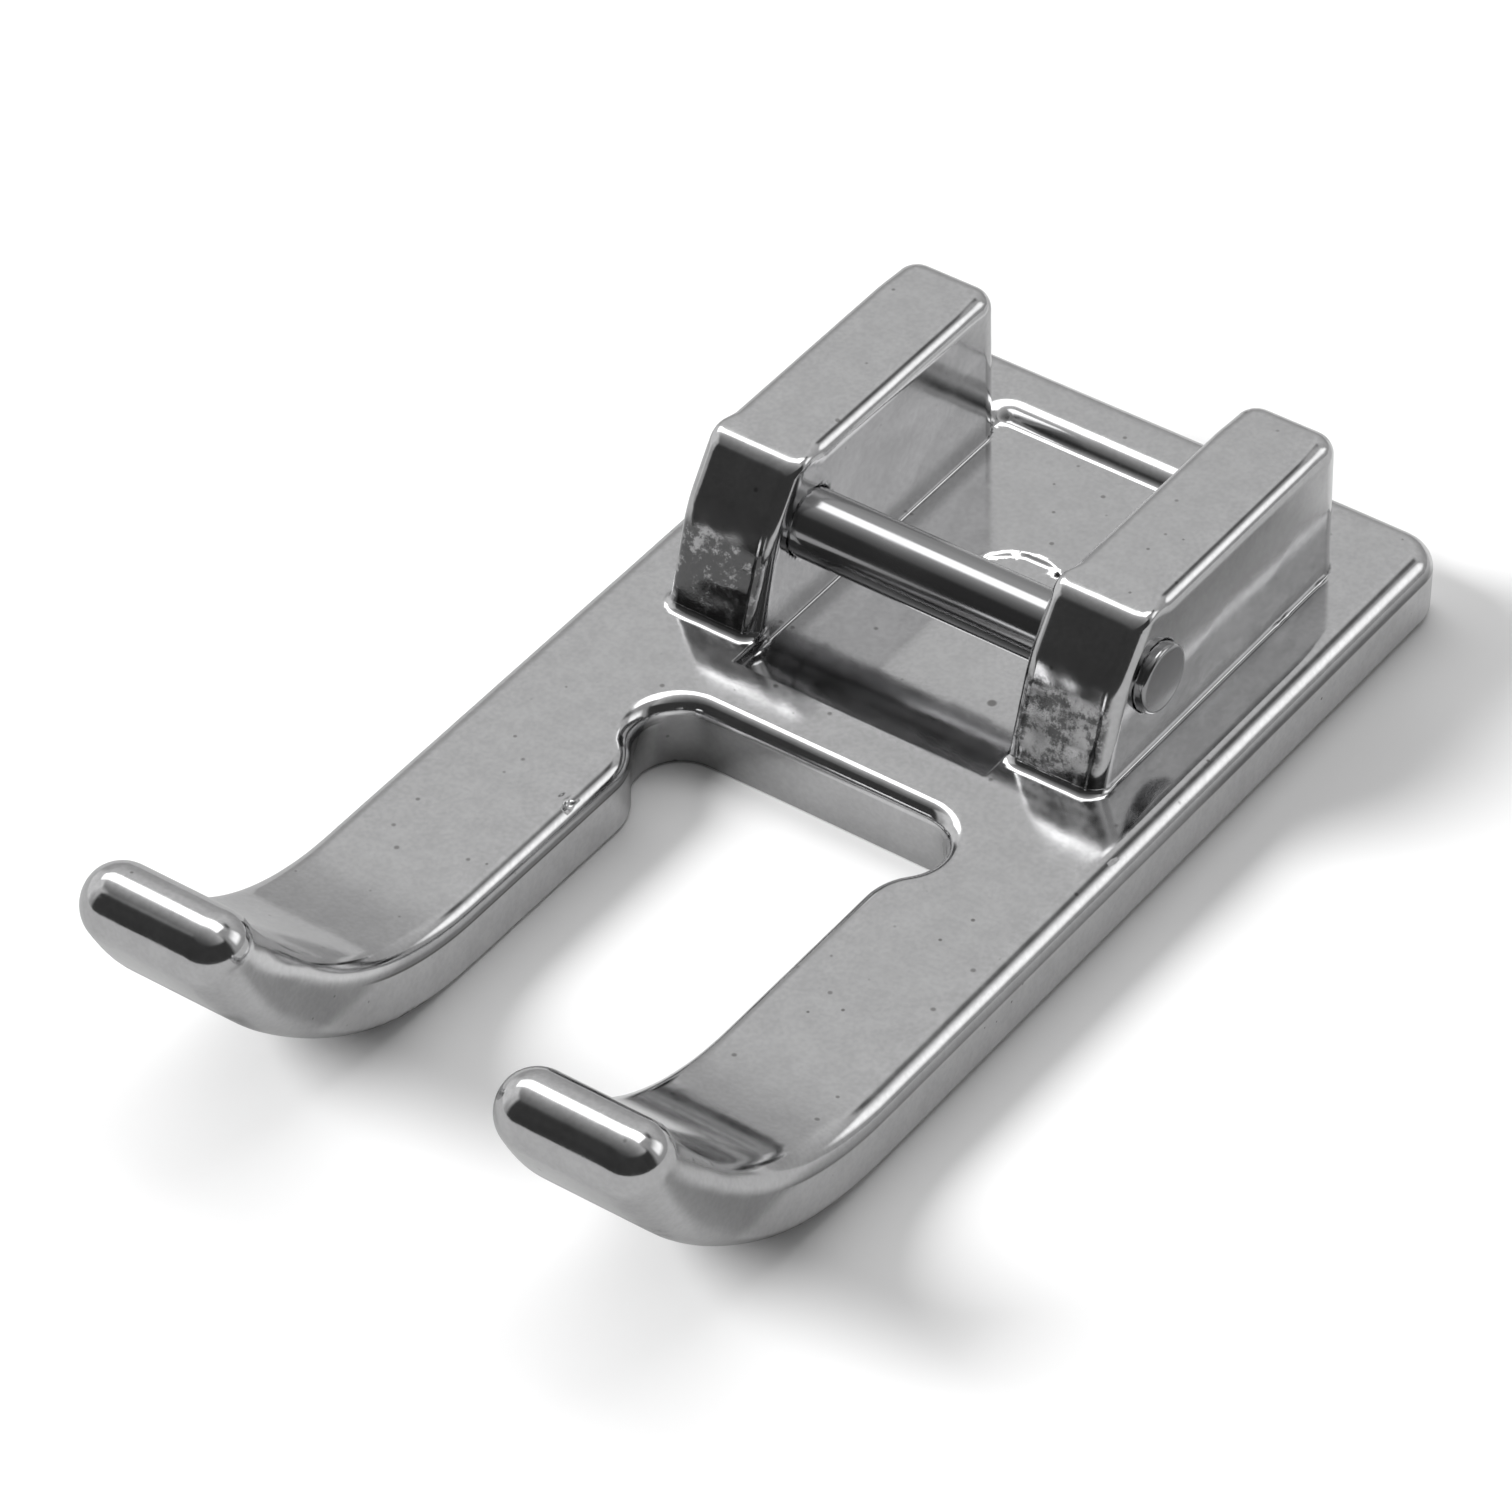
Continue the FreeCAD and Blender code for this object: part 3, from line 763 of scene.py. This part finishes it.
def pin_tree():
    """A round bar made from a straight line, with rounded ends."""
    tree = bpy.data.node_groups.new("turned_pin", "GeometryNodeTree")
    face = tree.interface
    face.new_socket("Geometry", in_out="OUTPUT", socket_type="NodeSocketGeometry")
    for name, kind in (("Length", "Float"), ("Radius", "Float"), ("End rounding", "Float"),
                       ("Sides", "Int"), ("Centre", "Vector"), ("Material", "Material")):
        face.new_socket(name, in_out="INPUT", socket_type=f"NodeSocket{kind}")
    nodes = Nodes(tree)
    given = nodes.add("NodeGroupInput").outputs
    line = nodes.add("GeometryNodeCurvePrimitiveLine", {"Start": (-0.5, 0, 0), "End": (0.5, 0, 0)})
    points = nodes.add("GeometryNodeResampleCurve", {"Curve": line.outputs["Curve"], "Count": PIN_STATIONS})
    # Half of the stations lie in the two roundings.
    part = nodes.math("DIVIDE", nodes.add("GeometryNodeInputIndex").outputs[0], PIN_STATIONS - 1)
    swing = nodes.math("SUBTRACT", nodes.product(part, 2.0), 1.0)
    reach = nodes.math("ABSOLUTE", swing)
    straight = nodes.math("SUBTRACT", nodes.product(given["Length"], 0.5), given["End rounding"])
    turn = nodes.product(nodes.math("MAXIMUM", nodes.math("SUBTRACT", reach, 0.5), 0.0), math.pi)
    first = nodes.product(nodes.math("MINIMUM", reach, 0.5), 2.0, straight)
    rounded = nodes.product(nodes.math("SINE", turn), given["End rounding"])
    place = nodes.product(nodes.math("SIGN", swing), nodes.math("ADD", first, rounded))
    taken = nodes.product(nodes.math("SUBTRACT", 1.0, nodes.math("COSINE", turn)), given["End rounding"])
    radius = nodes.math("SUBTRACT", given["Radius"], taken)
    spot = nodes.add("ShaderNodeCombineXYZ", {"X": place}).outputs[0]
    placed = nodes.add("GeometryNodeSetPosition", {
        "Geometry": points.outputs[0], "Position": nodes.vector("ADD", spot, given["Centre"])})
    ring = nodes.add("GeometryNodeCurvePrimitiveCircle", {"Resolution": given["Sides"], "Radius": 1.0})
    tube = nodes.add("GeometryNodeCurveToMesh", {
        "Curve": placed.outputs[0], "Profile Curve": ring.outputs[0], "Scale": radius, "Fill Caps": True})
    real = nodes.add("GeometryNodeRealizeInstances", {"Geometry": tube.outputs[0]})
    painted = nodes.add("GeometryNodeSetMaterial", {
        "Geometry": real.outputs[0], "Material": given["Material"]})
    nodes.add("NodeGroupOutput", {"Geometry": painted.outputs[0]})
    return tree


def grown(name, tree, inputs):
    """The plain mesh that a tree makes from its named inputs."""
    holder = put(name, bpy.data.meshes.new(name))
    modifier = holder.modifiers.new(name, "NODES")
    modifier.node_group = tree
    for socket in tree.interface.items_tree:
        if socket.in_out == "INPUT":
            modifier[socket.identifier] = inputs[socket.name]
    mesh = bpy.data.meshes.new_from_object(holder.evaluated_get(bpy.context.evaluated_depsgraph_get()))
    bpy.data.objects.remove(holder)
    mesh.name = name
    return mesh


class FOOT_OT_pin(bpy.types.Operator):
    """Builds the round cross pin that the ankle clips onto"""

    bl_idname = "presser_foot.pin"
    bl_label = "Build the cross pin"

    def execute(self, context):
        pin = context.scene.foot_pin
        reach = PIN_HIGH.x - PIN_LOW.x - pin.left_short
        centre = (PIN_LOW + PIN_HIGH) / 2 + Vector((pin.left_short / 2, 0, 0))
        material = pin_material(context.scene.foot_finish)
        mesh = grown("foot_pin", pin_tree(), {
            "Length": reach, "Radius": (PIN_HIGH.z - PIN_LOW.z) / 2,
            "End rounding": pin.end_round, "Sides": pin.sides, "Centre": centre, "Material": material})
        mesh.shade_smooth()
        add_piece("foot_pin", mesh, material, "cross_pin")
        return {"FINISHED"}


# The stage.

# Soft edges in the room, from nothing to whole. The ceiling is one unit up, so that a place on it is a
# direction divided by its height.
WALL_HEIGHTS, WALL_SHADES = (0.1, 0.68), (0.72, 1.06)
RIGHT_WALL_EDGE, LEFT_WALL_EDGE = (0.1, 0.75), (-0.86, -0.97)
DARK_SIDE_EDGE = math.radians(81), math.radians(70)
CEILING_EDGE = math.radians(44), math.radians(52)
WINDOW_RIGHT_EDGE, WINDOW_BACK_EDGE = (0.42, 0.62), (0.3, 0.5)
WINDOW_FOOT, WINDOW_HEAD = (0.10, 0.38), (0.86, 0.46)
# The low and the high corner of each panel on the ceiling, and how soft its edges are.
OVERHEAD_PANEL = (-1.6, 0.085), (0.28, 0.60), 0.07
DARK_CARD_PANEL = (0.10, 0.70), (0.50, 1.02), 0.12
# The ceiling's glow grows as a power of e, up to the softbox's edge.
GLOW_GROWTH, GLOW_END = 2.4, 0.04
FRONT_CEILING_EDGE = 0.2, 0.0
LOWEST_CEILING, JUST_OVER_ONE = 0.02, 1.0001
ROOM_CLOUD_SCALE, ROOM_CLOUD_DETAIL, ROOM_CLOUD_SHADES = 2.2, 3.0, (0.92, 1.08)

# Where a painted pool of light brightens the floor as the plating mirrors it: beside the foot, outside the
# slot and behind the toes.
BESIDE_FOOT_EDGE, SLOT_SIDE_EDGE = (10.4 * MM, 9.6 * MM), (4.4 * MM, 5.0 * MM)
SLOT_REAR_EDGE, TOES_EDGE = (-0.6 * MM, -1.4 * MM), (-12.0 * MM, -9.0 * MM)
FLOOR_LEVEL = -0.01 * MM

# The camera that took the photograph, found from the foot's own edges.
CAMERA_PLACE = Vector((83.9304, -112.6488, 127.2336)) * MM
CAMERA_RIGHT = Vector((0.80913829, 0.58726979, -0.02023398))
CAMERA_UP = Vector((-0.37687812, 0.54506457, 0.74891087))
CAMERA_LENS, CAMERA_SENSOR, NEAREST_SEEN = 181.28, 36.0, 0.01


def heading_of(turn, lift):
    """The direction at a bearing from +X and a height above the horizon."""
    return Vector((math.cos(turn) * math.cos(lift), math.sin(turn) * math.cos(lift), math.sin(lift)))


def panel(nodes, ceiling, low, high, soft):
    """One inside a soft-edged rectangle on the ceiling, from its low corner to its high one."""
    shade = 1.0
    for place, start, end in zip(ceiling, low, high):
        into = nodes.rise(place, start - soft, start + soft)
        shade = nodes.product(shade, into, nodes.rise(place, end + soft, end - soft))
    return shade


def wall_light(nodes, settings, heading, height, bearings):
    """The walls: grey behind, darker on the right, brighter on the left, and dark behind the camera."""
    foot, top = (settings.back_wall * part for part in WALL_SHADES)
    light = nodes.rise(height, *WALL_HEIGHTS, foot, top)
    light = nodes.blend(nodes.rise(bearings[0], *RIGHT_WALL_EDGE), light, settings.side_wall)
    light = nodes.blend(nodes.rise(bearings[0], *LEFT_WALL_EDGE), light, settings.left_wall)
    dark = heading_of(settings.dark_bearing, 0)
    toward_dark = nodes.math("ADD", nodes.product(bearings[0], dark.x), nodes.product(bearings[1], dark.y))
    dark_side = nodes.rise(toward_dark, *(math.cos(turn) for turn in DARK_SIDE_EDGE))
    light = nodes.blend(dark_side, light, settings.dark_wall)
    cloud = nodes.noise(heading, ROOM_CLOUD_SCALE, ROOM_CLOUD_DETAIL)
    return nodes.product(light, nodes.rise(cloud, *NOISE_RANGE, *ROOM_CLOUD_SHADES))


def room_light(nodes, settings):
    """Light from each direction: walls, a ceiling with a softbox and a dark card, and a window."""
    heading = nodes.add("ShaderNodeTexCoord").outputs["Generated"]
    parts = nodes.add("ShaderNodeSeparateXYZ", {0: heading}).outputs
    height = parts["Z"]
    above = nodes.math("MAXIMUM", height, LOWEST_CEILING)
    ceiling = [nodes.math("DIVIDE", parts[axis], above) for axis in "XY"]
    level = nodes.math("SQRT", nodes.math("SUBTRACT", JUST_OVER_ONE, nodes.product(height, height)))
    bearings = [nodes.math("DIVIDE", parts[axis], level) for axis in "XY"]
    light = wall_light(nodes, settings, heading, height, bearings)
    toward_softbox = nodes.product(nodes.math("MINIMUM", ceiling[1], GLOW_END), GLOW_GROWTH)
    glow = nodes.product(nodes.math("POWER", math.e, toward_softbox), settings.glow)
    on_ceiling = nodes.rise(height, *(math.sin(lift) for lift in CEILING_EDGE))
    front_ceiling = nodes.rise(ceiling[1], *FRONT_CEILING_EDGE)
    light = nodes.blend(nodes.product(on_ceiling, front_ceiling), light, glow)
    light = nodes.blend(panel(nodes, ceiling, *DARK_CARD_PANEL), light, settings.dark_card)
    across = nodes.product(
        nodes.rise(bearings[0], *WINDOW_RIGHT_EDGE), nodes.rise(bearings[1], *WINDOW_BACK_EDGE))
    upright = nodes.product(nodes.rise(height, *WINDOW_FOOT), nodes.rise(height, *WINDOW_HEAD))
    light = nodes.math("MAXIMUM", light, nodes.product(across, upright, settings.window))
    softbox = nodes.product(settings.overhead, panel(nodes, ceiling, *OVERHEAD_PANEL))
    return nodes.math("MAXIMUM", light, softbox)


def build_world(scene):
    """The room's light, and a white background for the camera."""
    world = bpy.data.worlds.new("studio_room")
    scene.world = world
    nodes = emptied(world)
    camera = nodes.add("ShaderNodeLightPath").outputs["Is Camera Ray"]
    seen = nodes.blend(camera, room_light(nodes, scene.foot_stage), 1.0)
    background = nodes.add("ShaderNodeBackground", {"Color": (1, 1, 1, 1), "Strength": seen})
    nodes.add("ShaderNodeOutputWorld", {"Surface": background.outputs[0]})


def build_shadow_light(settings):
    """A wide soft lamp on the left, which lights the floor and is not mirrored in the plating."""
    data = bpy.data.lights.new("shadow_light", "SUN")
    data.energy = settings.sun
    data.angle = settings.sun_width
    lamp = put("shadow_light", data)
    toward_lamp = heading_of(settings.sun_bearing, settings.sun_height)
    lamp.rotation_euler = toward_lamp.to_track_quat("Z", "Y").to_euler()
    lamp.visible_glossy = False


def floor_material(settings):
    """A pale floor, which the plating mirrors darker than the camera sees it, except in a painted pool of
    light beside the foot.
    """
    material = bpy.data.materials.new("pale_floor")
    nodes = emptied(material)
    _, place = nodes.object_place()
    across = nodes.math("ABSOLUTE", place["X"])
    outside_slot = nodes.math(
        "MAXIMUM", nodes.rise(across, *SLOT_SIDE_EDGE), nodes.rise(place["Y"], *SLOT_REAR_EDGE))
    # Painted pool of light beside the foot, seen only in the plating's reflections.
    near = nodes.product(
        nodes.rise(across, *BESIDE_FOOT_EDGE), outside_slot, nodes.rise(place["Y"], *TOES_EDGE))
    mirrored = nodes.blend(near, settings.mirrored_floor, settings.mirrored_painted_pool)
    seen_by_metal = nodes.add("ShaderNodeLightPath").outputs["Is Glossy Ray"]
    shade = nodes.product(nodes.blend(seen_by_metal, 1.0, mirrored), settings.floor_shade)
    tint = nodes.add("ShaderNodeCombineColor", {"Red": shade, "Green": shade, "Blue": shade}).outputs[0]
    shader = nodes.add("ShaderNodeBsdfDiffuse", {"Color": tint})
    nodes.add("ShaderNodeOutputMaterial", {"Surface": shader.outputs[0]})
    return material


def build_floor(settings):
    """A wide pale floor just under the sole."""
    half = settings.floor_size / 2
    corners = [(x * half, y * half, FLOOR_LEVEL) for x, y in ((-1, -1), (1, -1), (1, 1), (-1, 1))]
    mesh = bpy.data.meshes.new("studio_floor")
    mesh.from_pydata(corners, [], [(0, 1, 2, 3)])
    mesh.materials.append(floor_material(settings))
    put("studio_floor", mesh)


def build_camera(scene):
    """The camera where the photograph was taken from."""
    data = bpy.data.cameras.new("product_camera")
    data.sensor_width = CAMERA_SENSOR
    data.lens = CAMERA_LENS
    data.clip_start = NEAREST_SEEN
    camera = put("product_camera", data)
    turned = Matrix((CAMERA_RIGHT, CAMERA_UP, CAMERA_RIGHT.cross(CAMERA_UP))).transposed()
    camera.matrix_world = Matrix.Translation(CAMERA_PLACE) @ turned.to_4x4()
    scene.camera = camera


class FOOT_OT_stage(bpy.types.Operator):
    """Builds the floor, the light and the camera"""

    bl_idname = "presser_foot.stage"
    bl_label = "Build the stage"

    def execute(self, context):
        scene = context.scene
        scene.view_settings.view_transform = "Standard"
        build_world(scene)
        build_floor(scene.foot_stage)
        build_shadow_light(scene.foot_stage)
        build_camera(scene)
        return {"FINISHED"}


class FOOT_PT_panel(bpy.types.Panel):
    """Builds the presser foot's pieces and its stage, and lists their settings"""

    bl_idname = "FOOT_PT_panel"
    bl_label = "Presser foot"
    bl_space_type = "VIEW_3D"
    bl_region_type = "UI"
    bl_category = "Presser foot"

    def draw(self, context):
        for operator in (FOOT_OT_stage, FOOT_OT_casting, FOOT_OT_pin):
            self.layout.operator(operator.bl_idname)
        for name, group in GROUPS.items():
            for setting in group.__annotations__:
                self.layout.prop(getattr(context.scene, name), setting)


GROUPS = {
    "foot_casting": CastingSizes, "foot_pin": PinSizes,
    "foot_finish": FinishColours, "foot_stage": StageSettings,
}
CLASSES = (*GROUPS.values(), FOOT_OT_casting, FOOT_OT_pin, FOOT_OT_stage, FOOT_PT_panel)


def register():
    """Makes the settings, the operators and the panel known."""
    for each in CLASSES:
        bpy.utils.register_class(each)
    for name, group in GROUPS.items():
        setattr(bpy.types.Scene, name, bpy.props.PointerProperty(type=group))


def unregister():
    """Takes them away again."""
    for name in GROUPS:
        delattr(bpy.types.Scene, name)
    for each in reversed(CLASSES):
        bpy.utils.unregister_class(each)


def main():
    """Builds everything."""
    register()
    bpy.ops.presser_foot.stage()
    bpy.ops.presser_foot.casting()
    bpy.ops.presser_foot.pin()


if __name__ == "__main__":
    main()
